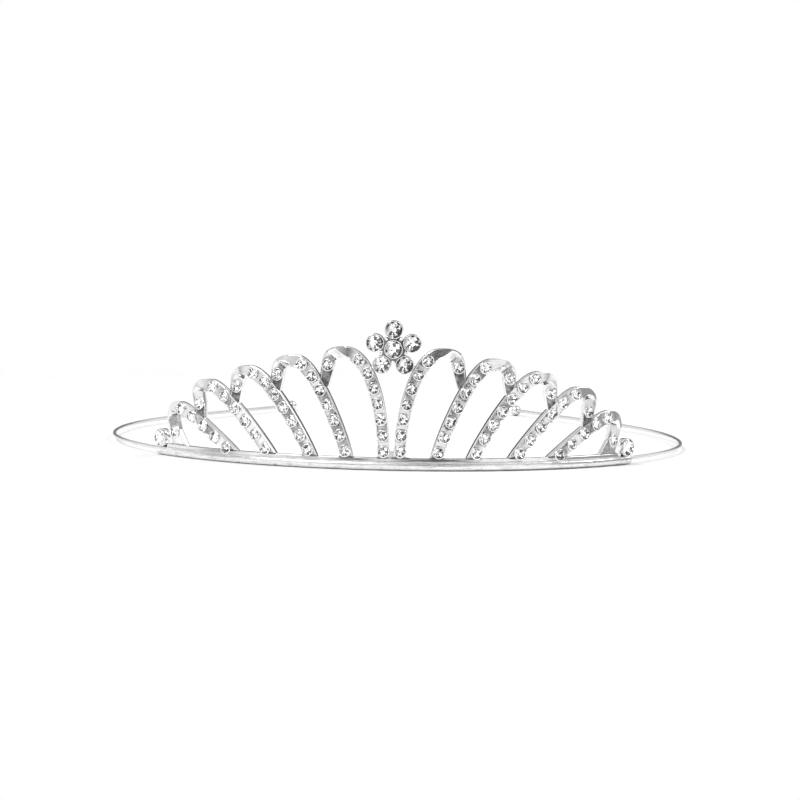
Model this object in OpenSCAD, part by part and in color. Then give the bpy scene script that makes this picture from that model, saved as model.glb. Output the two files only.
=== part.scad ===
// Small rhinestone tiara on a wire headband.
// The tiara stands on its base bar and on the two balls of the wire, crown upwards.
// The origin is on that surface, under the middle of the tiara's outline seen from above.
// The front of the crown faces -Y and the two balls are at +Y.
// Everything is drawn round the centre of the headband's circle and moved to the origin at the end.
// The crown is described on an unrolled sheet: an angle round the headband, and a height.

/* [Headband] */
// Radius of the headband's circle, to the middle of the base bar
band_r = 65.3; // [60:0.1:72]
// Diameter of the round base bar
bar_d = 2.1; // [2:0.05:2.6]
// Angle from the front of the crown to each end of the base bar
bar_half_angle = 51.5; // [48:0.5:56]
// Diameter of the springy wire
wire_d = 0.8; // [0.6:0.05:1]
// Length of wire that is held in each end of the base bar
wire_grip = 7; // [4:0.5:10]
// Angle from the front at which each arm leaves the headband's circle
side_angle = 90; // [84:1:96]
// Radius of the wide bend behind that place
side_r = 80; // [70:1:95]
// Angle through which the wide bend turns inwards
side_bend = 33; // [26:1:38]
// Length of the straight end of each arm
tail_len = 43; // [30:1:50]
// Diameter of the ball on each end of the wire
ball_d = 2.7; // [2.4:0.1:2.8]
// Depth of the blind hole in each ball
ball_hole = 1.6; // [1:0.1:1.8]

/* [Crown] */
// Distance from the middle of the base bar out to the front face of the arches
front_out = 1; // [0.8:0.1:1.4]
// Height of the tallest arch above the base bar, to the middle of its band
arch_h = 22.3; // [18:0.1:28]
// Width of each arch band, seen from the front
arch_w = 2.7; // [2.6:0.1:3.2]
// Thickness of each arch band, front to back
arch_t = 1.8; // [1.5:0.1:2.2]
// Depth of the dished inner edge where an arch turns over
dish = 1.15; // [0.6:0.05:1.3]
// How far the short leg of an arch lies behind the long ones
step_back = 0.45; // [0.2:0.05:0.6]
// Height of the rail above the base bar
rail_h = 0.6; // [0.4:0.1:1]
// Thickness of that rail, front to back
rail_t = 1.4; // [1:0.1:1.7]

/* [Small stones] */
// Diameter of the small stones
stone_d = 2.3; // [2:0.05:2.35]
// Clearance all round a stone in its cup
stone_gap = 0.05; // [0.03:0.01:0.08]
// Wall of a small stone's cup
cup_wall = 0.12; // [0.1:0.01:0.15]
// How far a small cup's rim stands in front of its band
cup_rise = 0.25; // [0.15:0.05:0.4]
// Distance from the base bar to the lowest stone of a leg, along the leg
first_stone = 1.9; // [1.6:0.1:2.4]

/* [Large stones] */
// Diameter of the large stones
big_d = 3.4; // [3:0.1:3.6]
// Wall of a large stone's cup
big_wall = 0.2; // [0.15:0.01:0.3]
// Height of a large cup, front to back
big_cup_h = 1.9; // [1.8:0.1:2.6]
// How far the rims of the flower stand in front of the arches
flower_out = 0.9; // [0.6:0.1:1.3]
// How far the middle stone of the flower stands in front of its petals
heart_out = 0.6; // [0.2:0.1:0.8]
// Radius of the ring of petals
petal_r = 4.05; // [3.9:0.05:4.3]
// Height of the flower's middle above the tallest arch's middle line
flower_up = 1.1; // [0.8:0.1:1.8]
// Angle from the front of the crown to each end stone
end_stone_angle = 49.3; // [48:0.1:50]

/* [Hidden] */

// The five arches of one side, from the middle of the crown outwards.
// foot, apex, land: angles of the foot, the highest point and the short leg, as shares of bar_half_angle.
// high, low: heights of the apex and of the short leg's stone above the bar, as shares of arch_h.
// rise, reach: the pull of the curve at the foot, as a share of its height, and at the apex, of its span.
// lean: the way the leg starts from upright, in degrees.
// shoulder, drop: the pull of the short side at the apex and at its stone, as shares of arch_w.
// tilt: the way the short leg ends from upright, in degrees.
// stones: the number of stones on the long leg.  pitch: their spacing, as a share of stone_d.
FOOT = 0;
APEX = 1;
HIGH = 2;
RISE = 3;
LEAN = 4;
REACH = 5;
SHOULDER = 6;
DROP = 7;
LAND = 8;
LOW = 9;
TILT = 10;
STONES = 11;
PITCH = 12;
ARCHES = [
  // foot   apex    high   rise  lean  reach shoulder drop land    low    tilt stones pitch
  [0.0307, 0.1710, 1.000, 0.34,  -4,  0.71, 0.95,    0.94, 0.2330, 0.882,  -5, 7, 1.46],
  [0.1570, 0.3520, 0.906, 0.08, -11,  0.39, 1.06,    1.00, 0.4228, 0.775,  -1, 7, 1.49],
  [0.2860, 0.5385, 0.785, 0.05, -17,  0.37, 0.97,    1.00, 0.5901, 0.636,  -1, 7, 1.49],
  [0.4416, 0.7066, 0.628, 0.06, -17,  0.25, 1.64,    1.26, 0.7613, 0.446,  14, 6, 1.62],
  [0.5960, 0.8640, 0.386, 0.05,   6,  0.23, 1.66,    1.27, 0.8895, 0.153,  15, 5, 1.69]
];
ARCH_COUNT = len(ARCHES);

// How finely the round bodies are drawn
RING_SIDES = 360;
ROUND_SIDES = 32;
BALL_SIDES = 48;

front_r = band_r + front_out;
arc_mm = PI * front_r / 180;
bar_z = bar_d / 2;
wire_z = ball_d / 2;
// Radial clearance of the wire in its bores, and how far a cut runs past what it cuts
bore_gap = 0.05;
cut_over = 1;

// A point of the unrolled sheet, s along the arc and z up, n in front of the sheet
function wrap(s, z, n) = [
  (front_r + n) * sin(s / arc_mm),
  -(front_r + n) * cos(s / arc_mm),
  z
];

// Puts a child at a place of the sheet with its +Z pointing out of the sheet
module on_sheet(place, side, n = 0) {
  rotate([0, 0, side * place[0] / arc_mm])
    translate([0, -front_r - n, place[1]])
      rotate([90, 0, 0])
        children();
}

// Centre lines of the arches

function bezier(p, t) =
  p[0] * pow(1 - t, 3) + p[1] * 3 * t * pow(1 - t, 2)
  + p[2] * 3 * t * t * (1 - t) + p[3] * pow(t, 3);
function unit(v) = v / norm(v);
function way(angle) = [sin(angle), cos(angle)];
function along(share) = share * bar_half_angle * arc_mm;
function height(share) = bar_d + share * arch_h;

// The arches are rooted inside the bar
root_z = bar_d * 0.75;
function foot_at(a) = [along(a[FOOT]), root_z];
function apex_at(a) = [along(a[APEX]), height(a[HIGH])];
function land_at(a) = [along(a[LAND]), height(a[LOW])];

function leg_curve(a) = [
  foot_at(a),
  foot_at(a) + way(a[LEAN]) * a[RISE] * (apex_at(a)[1] - root_z),
  apex_at(a) - [a[REACH] * (apex_at(a)[0] - foot_at(a)[0]), 0],
  apex_at(a)
];
function short_curve(a) = [
  apex_at(a),
  apex_at(a) + [a[SHOULDER] * arch_w, 0],
  land_at(a) + way(a[TILT]) * a[DROP] * arch_w,
  land_at(a)
];

// The tail runs on from the last stone into the next arch, or into the bar
tail_run = arch_w * 1.65;
function tail_end(a) = land_at(a) - way(a[TILT]) * tail_run;

// Stations along the long leg, the short side and the tail
LEG_STEPS = 14;
SHORT_STEPS = 12;
TAIL_STEPS = 2;
function arch_path(a) = concat(
  [for (k = [0 : LEG_STEPS]) bezier(leg_curve(a), k / LEG_STEPS)],
  [for (k = [1 : SHORT_STEPS]) bezier(short_curve(a), k / SHORT_STEPS)],
  [for (k = [1 : TAIL_STEPS]) land_at(a) + (tail_end(a) - land_at(a)) * k / TAIL_STEPS]
);

// The point at a distance along a path
function point_at(p, d, k = 1) =
  (d <= norm(p[k] - p[k - 1]) || k == len(p) - 1)
    ? p[k - 1] + unit(p[k] - p[k - 1]) * d
    : point_at(p, d - norm(p[k] - p[k - 1]), k + 1);

// Centres of the stones of one arch on the sheet: those of the long leg, then the short leg's
function leg_start(a) = (bar_d - root_z) / cos(a[LEAN]) + first_stone;
function stone_places(a) = concat(
  [for (k = [0 : a[STONES] - 1]) point_at(arch_path(a), leg_start(a) + k * a[PITCH] * stone_d)],
  [land_at(a)]
);
// The short leg's stone is set back with its leg
function rim_at(a, k) = k < a[STONES] ? cup_rise : cup_rise - step_back;

// Section of the arch bands

// Stations between which the inner edge falls away, and those between which the leg is flat again
turn_from = LEG_STEPS * 0.72;
turn_to = LEG_STEPS + SHORT_STEPS * 0.62;
land_from = LEG_STEPS + SHORT_STEPS * 0.45;
land_to = LEG_STEPS + SHORT_STEPS;
// Share of the width that stays as a crest where the edge has fallen away, and the least fall
crest_left = 0.06;
least_fall = 0.02;
// Half width left at the end of a tail, and the flare of the outermost tail, as shares of half a band
tail_left = 0.35;
foot_flare = 1.35;

// Share from 0 to 1 between two marks
function ramp(x, x0, x1) = min(1, max(0, (x - x0) / (x1 - x0)));

// Section at station k, from the outer front edge round to the outer back edge
SECTION_POINTS = 5;
function section(k, last) =
  let (
    turn = ramp(k, turn_from, turn_to),
    land = ramp(k, land_from, land_to),
    tail = ramp(k, land_to, land_to + TAIL_STEPS),
    half = arch_w / 2,
    inner = half * (last ? 1 + foot_flare * tail : 1 - (1 - tail_left) * tail),
    crest = -inner + (half + inner) * (1 - crest_left) * turn,
    back = step_back * land,
    fall = dish * turn * (1 - land) + least_fall
  ) [
    [half, -back],
    [crest, -back],
    [-inner, -back - fall],
    [-inner, -arch_t],
    [half, -arch_t]
  ];

// One arch, lofted through its sections on the right side of the crown
module arch(a, last) {
  p = arch_path(a);
  n = len(p);
  m = SECTION_POINTS;
  points = [
    for (k = [0 : n - 1])
      let (
        t = unit(p[min(k + 1, n - 1)] - p[max(k - 1, 0)]),
        out = [-t[1], t[0]]
      )
      for (q = section(k, last))
        let (c = p[k] + out * q[0])
        wrap(c[0], c[1], q[1])
  ];
  skin = [
    for (k = [0 : n - 2])
      for (j = [0 : m - 1])
        let (
          a0 = k * m + j,
          a1 = k * m + (j + 1) % m
        )
        each [[a0, a0 + m, a1 + m], [a0, a1 + m, a1]]
  ];
  caps = [
    [for (j = [0 : m - 1]) j],
    [for (j = [m - 1 : -1 : 0]) (n - 1) * m + j]
  ];
  polyhedron(points = points, faces = concat(skin, caps));
}

// Stones, cups and seats

small_sides = 8;
big_sides = 12;
// Shares of a stone's diameter: its table, and the depths of its crown, girdle and pavilion
table_share = 0.56;
crown_share = 0.17;
girdle_share = 0.045;
pavilion_share = 0.31;
// How far the girdle lies under the rim of its cup
girdle_in = 0.06;
// Depth of a seat below its rim, and how far a small cup reaches behind the front of the band
seat_deep = cup_rise + stone_d * 0.33;
big_seat_deep = big_d * 0.4;
cup_back = 0.3 + step_back;

function ring_of(d, z, n, turn) = [
  for (k = [0 : n - 1])
    [d / 2 * cos((k + turn) * 360 / n), d / 2 * sin((k + turn) * 360 / n), z]
];
function stone_points(d, n) = concat(
  ring_of(d * table_share, d * crown_share, n, 0),
  ring_of(d, 0, n, 0.5),
  ring_of(d, -d * girdle_share, n, 0.5),
  [[0, 0, -d * (girdle_share + pavilion_share)]]
);
function stone_faces(n) = concat(
  [[for (k = [n - 1 : -1 : 0]) k]],
  [
    for (k = [0 : n - 1])
      let (k1 = (k + 1) % n)
      each [
        [k, k1, n + k],
        [k1, n + k1, n + k],
        [n + k, n + k1, 2 * n + k1],
        [n + k, 2 * n + k1, 2 * n + k],
        [2 * n + k, 2 * n + k1, 3 * n]
      ]
  ]
);

// A cut stone with its table towards +Z and the front of its girdle at 0
module cut_stone(d, n) {
  polyhedron(points = stone_points(d, n), faces = stone_faces(n));
}

// The outside of a cup between two heights in front of the sheet
module cup(d, wall, bottom, rim) {
  translate([0, 0, bottom])
    cylinder(d = d + 2 * (stone_gap + wall), h = rim - bottom, $fn = ROUND_SIDES);
}

// What is cut out of a cup for its stone
module seat(d, deep, rim) {
  translate([0, 0, rim - deep])
    cylinder(d = d + 2 * stone_gap, h = deep + cut_over, $fn = ROUND_SIDES);
}

// Base bar with its rail

// A ring segment of the profile, centred on an angle from the front of the crown
module ring_part(middle, half) {
  rotate([0, 0, middle - 90 - half])
    rotate_extrude(angle = 2 * half, $fn = RING_SIDES)
      children();
}

module base_bar() {
  ring_part(0, bar_half_angle)
    translate([band_r, bar_z])
      circle(d = bar_d, $fn = ROUND_SIDES);
}

// The bore for the wire in the right end of the bar
grip_angle = wire_grip / band_r * 180 / PI;
module wire_bore() {
  half = (grip_angle + cut_over) / 2;
  ring_part(bar_half_angle - grip_angle + half, half)
    translate([band_r, wire_z])
      circle(d = wire_d + 2 * bore_gap, $fn = ROUND_SIDES);
}

// The rail stops short of the bar's ends, and its face lies just behind the arches
rail_half_angle = bar_half_angle * 0.93;
rail_in = 0.15;
module rail() {
  ring_part(0, rail_half_angle)
    translate([front_r - rail_in - rail_t, bar_z])
      square([rail_t, bar_z + rail_h]);
}

// A small web fills the space between the two middle feet
web_w = 2.2;
web_h = 1.9;
web_in = 0.5;
web_t = 1.1;
module middle_web() {
  translate([-web_w / 2, -front_r + web_in, bar_z])
    cube([web_w, web_t, bar_z + web_h]);
}

// Flower and end stones

heart = [0, bar_d + arch_h + flower_up];
heart_rim = flower_out + heart_out;
PETALS = 5;
// Petals are counted clockwise from the top one, seen from the front
function petal_at(k) = heart + petal_r * [sin(k * 360 / PETALS), cos(k * 360 / PETALS)];

// A disc behind the flower joins the cups
hub_d = 5.8;
hub_t = 0.7;
cups_back = flower_out - big_cup_h;
module flower_cups() {
  on_sheet(heart, 1)
    cup(big_d, big_wall, cups_back, heart_rim);
  on_sheet(heart, 1, cups_back)
    cylinder(d = hub_d, h = hub_t, $fn = BALL_SIDES);
  for (k = [0 : PETALS - 1])
    on_sheet(petal_at(k), 1)
      cup(big_d, big_wall, cups_back, flower_out);
}

module flower_seats() {
  on_sheet(heart, 1)
    seat(big_d, big_seat_deep, heart_rim);
  for (k = [0 : PETALS - 1])
    on_sheet(petal_at(k), 1)
      seat(big_d, big_seat_deep, flower_out);
}

// A solder bridge runs from each lower petal to the innermost arch
bridge_d = 1.3;
bridge_len = 3.1;
bridge_in = 0.8;
bridge_drop = 25;
low_petal = petal_at(2);
module bridge(side) {
  rotate([0, 0, side * low_petal[0] / arc_mm])
    translate([0, -front_r + bridge_in, low_petal[1]])
      rotate([0, side * (90 + bridge_drop), 0])
        cylinder(d = bridge_d, h = bridge_len, $fn = ROUND_SIDES);
}

// The cups of the end stones are sunk a little in the bar
end_sink = 0.1;
end_place = [end_stone_angle * arc_mm, bar_d + big_d / 2 + big_wall - end_sink];

// The soldered metal

// One side of the crown: its arches and their cups
module crown_side(side) {
  for (i = [0 : ARCH_COUNT - 1]) {
    a = ARCHES[i];
    places = stone_places(a);
    mirror([side < 0 ? 1 : 0, 0, 0])
      arch(a, i == ARCH_COUNT - 1);
    for (k = [0 : len(places) - 1])
      on_sheet(places[k], side)
        cup(stone_d, cup_wall, -cup_back, rim_at(a, k));
  }
  on_sheet(end_place, side)
    cup(big_d, big_wall, cups_back, flower_out);
  bridge(side);
}

module side_seats(side) {
  for (i = [0 : ARCH_COUNT - 1]) {
    a = ARCHES[i];
    places = stone_places(a);
    for (k = [0 : len(places) - 1])
      on_sheet(places[k], side)
        seat(stone_d, seat_deep, rim_at(a, k));
  }
  on_sheet(end_place, side)
    seat(big_d, big_seat_deep, flower_out);
}

// The wire

// The wire ends just short of the floor of its bore
grip_gap = 0.3;
wire_start = bar_half_angle - (wire_grip - grip_gap) / band_r * 180 / PI;
end_turn = side_angle + side_bend;
bend_middle = (band_r - side_r) * [sin(side_angle), -cos(side_angle), 0];
bend_start = [band_r * sin(side_angle), -band_r * cos(side_angle), wire_z];
bend_end = bend_middle + side_r * [sin(end_turn), -cos(end_turn), 0] + [0, 0, wire_z];
wire_tip = bend_end + tail_len * [cos(end_turn), sin(end_turn), 0];
// Its stretches are joined by balls that swell it by a hair, each with its poles along the wire
joint_swell = 0.01;

// The right arm: an arc of the headband's circle, a wide bend and a straight end
module wire_arm() {
  ring_part((wire_start + side_angle) / 2, (side_angle - wire_start) / 2)
    translate([band_r, wire_z])
      circle(d = wire_d, $fn = ROUND_SIDES);
  translate(bend_middle)
    ring_part(side_angle + side_bend / 2, side_bend / 2)
      translate([side_r, wire_z])
        circle(d = wire_d, $fn = ROUND_SIDES);
  translate(bend_end)
    rotate([0, 0, end_turn])
      rotate([0, 90, 0])
        cylinder(d = wire_d, h = tail_len, $fn = ROUND_SIDES);
  translate(bend_start)
    rotate([90, 0, 0])
      sphere(d = wire_d + joint_swell, $fn = ROUND_SIDES);
  translate(bend_end)
    rotate([0, 0, end_turn])
      rotate([0, 90, 0])
        sphere(d = wire_d + joint_swell, $fn = ROUND_SIDES);
}

// The ball is bored from the side that faces the wire, which ends just above the bore's floor
ball_ahead = ball_d / 2 - ball_hole + bore_gap;
ball_middle = wire_tip + ball_ahead * [cos(end_turn), sin(end_turn), 0];
module ball_tip() {
  translate(ball_middle)
    rotate([0, 0, end_turn])
      difference() {
        sphere(d = ball_d, $fn = BALL_SIDES);
        translate([-ball_d / 2 - cut_over, 0, 0])
          rotate([0, 90, 0])
            cylinder(d = wire_d + 2 * bore_gap, h = ball_hole + cut_over, $fn = ROUND_SIDES);
      }
}

// The pieces

// The outline runs from the table of the flower's middle stone to the backs of the balls
front_y = -front_r - heart_rim + girdle_in - big_d * crown_share;
back_y = ball_middle[1] + ball_d / 2;
module placed() {
  translate([0, -(front_y + back_y) / 2, 0])
    children();
}

module crown_frame() {
  color("silver")
    placed()
      difference() {
        union() {
          base_bar();
          rail();
          middle_web();
          crown_side(1);
          crown_side(-1);
          flower_cups();
        }
        side_seats(1);
        side_seats(-1);
        flower_seats();
        wire_bore();
        mirror([1, 0, 0]) wire_bore();
      }
}

module wire_arm_left() {
  color("gainsboro")
    placed()
      mirror([1, 0, 0]) wire_arm();
}
module wire_arm_right() {
  color("gainsboro")
    placed() wire_arm();
}
module ball_tip_left() {
  color("whitesmoke")
    placed()
      mirror([1, 0, 0]) ball_tip();
}
module ball_tip_right() {
  color("whitesmoke")
    placed() ball_tip();
}

module flower_stone_centre() {
  color("lightcyan")
    placed()
      on_sheet(heart, 1, heart_rim - girdle_in)
        cut_stone(big_d, big_sides);
}
module petal_stone(number) {
  color("lightcyan")
    placed()
      on_sheet(petal_at(number - 1), 1, flower_out - girdle_in)
        cut_stone(big_d, big_sides);
}
module end_stone(side) {
  color("lightcyan")
    placed()
      on_sheet(end_place, side, flower_out - girdle_in)
        cut_stone(big_d, big_sides);
}

// All the stones of one arch, each in its own cup
module arch_stones(side, number) {
  a = ARCHES[number - 1];
  places = stone_places(a);
  color("lightcyan")
    placed()
      for (k = [0 : len(places) - 1])
        on_sheet(places[k], side, rim_at(a, k) - girdle_in)
          cut_stone(stone_d, small_sides);
}

crown_frame();
wire_arm_left();
wire_arm_right();
ball_tip_left();
ball_tip_right();
flower_stone_centre();
petal_stone(1);  // petal_stone_1
petal_stone(2);  // petal_stone_2
petal_stone(3);  // petal_stone_3
petal_stone(4);  // petal_stone_4
petal_stone(5);  // petal_stone_5
end_stone(-1);  // end_stone_left
end_stone(1);  // end_stone_right
arch_stones(-1, 1);  // arch_stones_left_1
arch_stones(-1, 2);  // arch_stones_left_2
arch_stones(-1, 3);  // arch_stones_left_3
arch_stones(-1, 4);  // arch_stones_left_4
arch_stones(-1, 5);  // arch_stones_left_5
arch_stones(1, 1);  // arch_stones_right_1
arch_stones(1, 2);  // arch_stones_right_2
arch_stones(1, 3);  // arch_stones_right_3
arch_stones(1, 4);  // arch_stones_right_4
arch_stones(1, 5);  // arch_stones_right_5
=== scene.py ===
# %% [markdown]
# # A small rhinestone tiara on a spring wire headband
# The real thing is a cheap and cheerful cast crown: ten leaning arches set with small round stones,
# a flower of six larger stones over the middle, and a springy wire headband with a ball on each end.
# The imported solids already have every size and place. This lesson dresses them: it makes the arches
# with their polished and recessed faces, cuts the stones, sets them in their cups and draws the wire.
# Lengths are in millimetres inside the helpers, as on a jeweller's bench, and turned into metres
# at the moment a mesh is made.

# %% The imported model
import math

import bpy
from mathutils import Matrix, Vector, noise


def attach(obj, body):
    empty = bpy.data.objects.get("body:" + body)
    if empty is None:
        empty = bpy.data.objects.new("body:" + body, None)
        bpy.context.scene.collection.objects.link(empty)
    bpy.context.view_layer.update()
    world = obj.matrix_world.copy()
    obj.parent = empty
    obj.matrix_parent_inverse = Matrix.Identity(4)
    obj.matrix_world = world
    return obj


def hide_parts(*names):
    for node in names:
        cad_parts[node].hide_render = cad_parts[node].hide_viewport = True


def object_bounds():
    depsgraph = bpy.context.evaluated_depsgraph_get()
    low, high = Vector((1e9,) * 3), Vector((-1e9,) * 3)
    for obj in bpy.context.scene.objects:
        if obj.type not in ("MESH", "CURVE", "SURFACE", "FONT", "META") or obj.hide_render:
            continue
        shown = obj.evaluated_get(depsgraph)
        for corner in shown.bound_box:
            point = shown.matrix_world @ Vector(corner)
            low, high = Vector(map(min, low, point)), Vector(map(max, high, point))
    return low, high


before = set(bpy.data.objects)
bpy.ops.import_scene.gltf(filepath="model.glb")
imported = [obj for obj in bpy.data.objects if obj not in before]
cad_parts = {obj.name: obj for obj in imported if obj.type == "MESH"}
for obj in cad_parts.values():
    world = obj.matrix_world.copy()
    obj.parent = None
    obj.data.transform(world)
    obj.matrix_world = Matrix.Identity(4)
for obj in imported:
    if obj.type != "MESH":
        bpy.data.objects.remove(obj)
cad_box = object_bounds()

MM = 0.001
scene = bpy.context.scene
low, high = cad_box
print("nodes:", len(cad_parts), "size in mm:", [round(v / MM, 1) for v in high - low])

# %% [markdown]
# ## Sizes
# These are the same driving sizes as the part's own, so a piece made here lands on the solid that
# it stands for. The headband's circle isn't centred on the origin: the part is centred on its whole
# outline, so the circle's middle is worked out from the front of the flower's middle stone.

# %% Sizes in millimetres
BAND_R = 65.3
BAR_D = 2.1
BAR_HALF_ANGLE = 51.5
FRONT_R = BAND_R + 1.0
ARC_MM = math.radians(FRONT_R)  # one degree of the headband, measured along its front
ARCH_H, ARCH_W, ARCH_T = 22.3, 2.7, 1.8
STONE_D, BIG_D = 2.3, 3.4
CROWN_SHARE = 0.17
FLOWER_OUT, HEART_OUT = 0.9, 0.6
GIRDLE_IN = 0.06

outline_front = FRONT_R + FLOWER_OUT + HEART_OUT - GIRDLE_IN + BIG_D * CROWN_SHARE
CIRCLE_Y = low.y / MM + outline_front
print("middle of the headband's circle at y =", round(CIRCLE_Y, 3), "mm")

# %% [markdown]
# ## Camera
# The camera keeps the picture's distance, lens, turn and slight roll. The picture looks up at the
# tiara from under its own plane, which no camera can do to a thing that lies on a table, so this
# one stands just above the table instead.

# %% Camera
VIEW_DISTANCE = 660
VIEW_UP = math.radians(4.5)
VIEW_TURN = math.radians(-0.99)
VIEW_ROLL = math.radians(-1.14)
FOCAL_PX, FRAME_PX, SENSOR_MM = 2849.4, 800, 36
AIM_X, AIM_Z = 0.4, 9.7

across = Vector((math.cos(VIEW_TURN), -math.sin(VIEW_TURN), 0))
level = Vector((math.sin(VIEW_TURN), math.cos(VIEW_TURN), 0))
ahead = level * math.cos(VIEW_UP) - Vector((0, 0, math.sin(VIEW_UP)))
upright = level * math.sin(VIEW_UP) + Vector((0, 0, math.cos(VIEW_UP)))
right = across * math.cos(VIEW_ROLL) - upright * math.sin(VIEW_ROLL)
top = across * math.sin(VIEW_ROLL) + upright * math.cos(VIEW_ROLL)

camera = bpy.data.objects.new("camera", bpy.data.cameras.new("camera"))
camera.data.sensor_width = SENSOR_MM
camera.data.lens = FOCAL_PX * SENSOR_MM / FRAME_PX
camera.data.clip_start = 0.05
camera.data.clip_end = 20
aim = Vector((AIM_X, CIRCLE_Y, AIM_Z))
turned = Matrix((right, top, -ahead)).transposed().to_4x4()
camera.matrix_world = Matrix.Translation((aim - ahead * VIEW_DISTANCE) * MM) @ turned
scene.collection.objects.link(camera)
scene.camera = camera
print("lens", round(camera.data.lens, 1), "mm, camera at", [round(v, 3) for v in camera.location])

# %% [markdown]
# ## Node helpers
# Every finish below is a small node tree. One helper adds a node, sets its options, and either links
# or sets each input, so that a material reads as a list of what feeds what. The others are short
# names for what every finish needs.


# %% Node helpers
def add(tree, kind, inputs=None, **options):
    """Adds a node. A socket given as an input is linked, and anything else is set as its value."""
    made = tree.nodes.new(kind)
    for name, value in options.items():
        setattr(made, name, value)
    for name, value in (inputs or {}).items():
        if isinstance(value, bpy.types.NodeSocket):
            tree.links.new(value, made.inputs[name])
        else:
            made.inputs[name].default_value = value
    return made


def spread(tree, value, from_min, from_max, to_min=0.0, to_max=1.0, curve="LINEAR"):
    """Maps a value from one range to another, and stays inside the second."""
    return add(tree, "ShaderNodeMapRange", {
        "Value": value, "From Min": from_min, "From Max": from_max, "To Min": to_min, "To Max": to_max,
    }, interpolation_type=curve).outputs["Result"]


def calc(tree, operation, first, second=0.5):
    return add(tree, "ShaderNodeMath", {0: first, 1: second}, operation=operation).outputs[0]


def blend(tree, factor, first, second):
    """A mix of two colours."""
    return add(tree, "ShaderNodeMix", {0: factor, 6: first, 7: second}, data_type="RGBA").outputs[2]


def grey(level):
    return (level, level, level, 1)


def noise_at(tree, where, scale, detail, rough=0.5):
    """A cloudy pattern between 0 and 1, mostly near a half."""
    return add(tree, "ShaderNodeTexNoise", {
        "Vector": where, "Scale": scale, "Detail": detail, "Roughness": rough,
    }).outputs[0]


def place_in_mm(tree):
    """Places on the object in millimetres, for patterns."""
    spot = add(tree, "ShaderNodeTexCoord").outputs["Object"]
    return add(tree, "ShaderNodeMapping", {"Vector": spot, "Scale": (1000, 1000, 1000)}).outputs[0]


def mesh_value(tree, name):
    """A number that the mesh carries under this name."""
    return add(tree, "ShaderNodeAttribute", attribute_name=name).outputs["Fac"]


def new_material(name):
    made = bpy.data.materials.new(name)
    made.use_nodes = True
    made.node_tree.nodes.clear()
    return made


def surface(tree, shader):
    add(tree, "ShaderNodeOutputMaterial", {"Surface": shader.outputs[0]})


# %% [markdown]
# ## The room
# Silver has no colour of its own, it only shows what is round it. The picture was taken in a white
# light tent, which leaves the metal almost white, with dark lines where it mirrors the few gaps in
# the tent. So the world is a white tent with some soft dark gaps, and the camera itself sees plain
# white. Each gap is a soft-edged box of directions, given by its middle and half size in degrees,
# and how dark it is. The last three go all the way round: a little below the horizon, as a band that
# outlines the wire, and overhead.

# %% The light tent
GAPS = [
    # turn, half turn, up, half up, dark
    (15, 14, 12, 8, 0.96),
    (-17, 7, 12, 8, 0.95),
    (-38, 9, 10, 8, 0.35),
    (90, 25, 14, 20, 0.66),
    (-74, 7, 24, 26, 0.60),
    (180, 34, 9, 14, 0.92),
    (20, 26, 50, 7, 0.80),
    (-60, 16, 56, 7, 0.75),
    (140, 34, 62, 8, 0.70),
    (-140, 30, 58, 8, 0.70),
    (0, 180, -9, 4, 0.50),
    (0, 180, 37, 6, 0.52),
    (0, 180, 90, 12, 0.80),
]
GAP_SOFT = 4

world = bpy.data.worlds.new("light tent")
world.use_nodes = True
scene.world = world
tent = world.node_tree
tent.nodes.clear()
look = add(tent, "ShaderNodeTexCoord").outputs["Generated"]
axes = add(tent, "ShaderNodeSeparateXYZ", {"Vector": look}).outputs
toward_front = calc(tent, "MULTIPLY", axes["Y"], -1.0)
turn_at = calc(tent, "DEGREES", calc(tent, "ARCTAN2", axes["X"], toward_front))
up_at = calc(tent, "DEGREES", calc(tent, "ARCSINE", axes["Z"]))


def inside(value, middle, half):
    """1 inside a range of directions, 0 outside, with a soft edge."""
    offset = calc(tent, "SUBTRACT", value, float(middle))
    wrapped = add(tent, "ShaderNodeMath", {0: offset, 1: 180.0, 2: -180.0}, operation="WRAP").outputs[0]
    away = calc(tent, "ABSOLUTE", wrapped)
    return spread(tent, away, half - GAP_SOFT, half + GAP_SOFT, 1.0, 0.0, "SMOOTHSTEP")


light = None
for turn, half_turn, up, half_up, dark in GAPS:
    hit = calc(tent, "MULTIPLY", inside(turn_at, turn, half_turn), inside(up_at, up, half_up))
    left_over = calc(tent, "SUBTRACT", 1.0, calc(tent, "MULTIPLY", hit, dark))
    light = left_over if light is None else calc(tent, "MULTIPLY", light, left_over)
seen = add(tent, "ShaderNodeLightPath").outputs["Is Camera Ray"]
tone = calc(tent, "MAXIMUM", light, seen)
background = add(tent, "ShaderNodeBackground", {"Color": tone, "Strength": 1.0})
add(tent, "ShaderNodeOutputWorld", {"Surface": background.outputs[0]})
print("tent with", len(GAPS), "gaps")


# %% [markdown]
# ## Lamps
# A tent alone gives no sparkle and no shadow. Two large square lamps, as a studio's soft boxes, put a
# clean light on each polished edge and a faint shadow under the bar.

# %% Soft lamps
def soft_lamp(name, place, size, power):
    """A square lamp in metres that faces the tiara."""
    lamp = bpy.data.objects.new(name, bpy.data.lights.new(name, "AREA"))
    lamp.data.shape = "SQUARE"
    lamp.data.size = size
    lamp.data.energy = power
    lamp.location = place
    lamp.rotation_mode = "QUATERNION"
    lamp.rotation_quaternion = (-Vector(place)).to_track_quat("-Z", "Y")
    scene.collection.objects.link(lamp)


soft_lamp("key", (-0.45, -0.5, 0.8), 0.45, 5.4)
soft_lamp("fill", (0.7, 0.1, 0.7), 0.5, 3.2)
scene.view_settings.view_transform = "Standard"
print("lamps:", len(bpy.data.lights))

# %% [markdown]
# ## Table top
# A plain white sheet. It fades out far from the tiara, where the tent behind it is white as well,
# so no line shows where the table ends.

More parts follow.
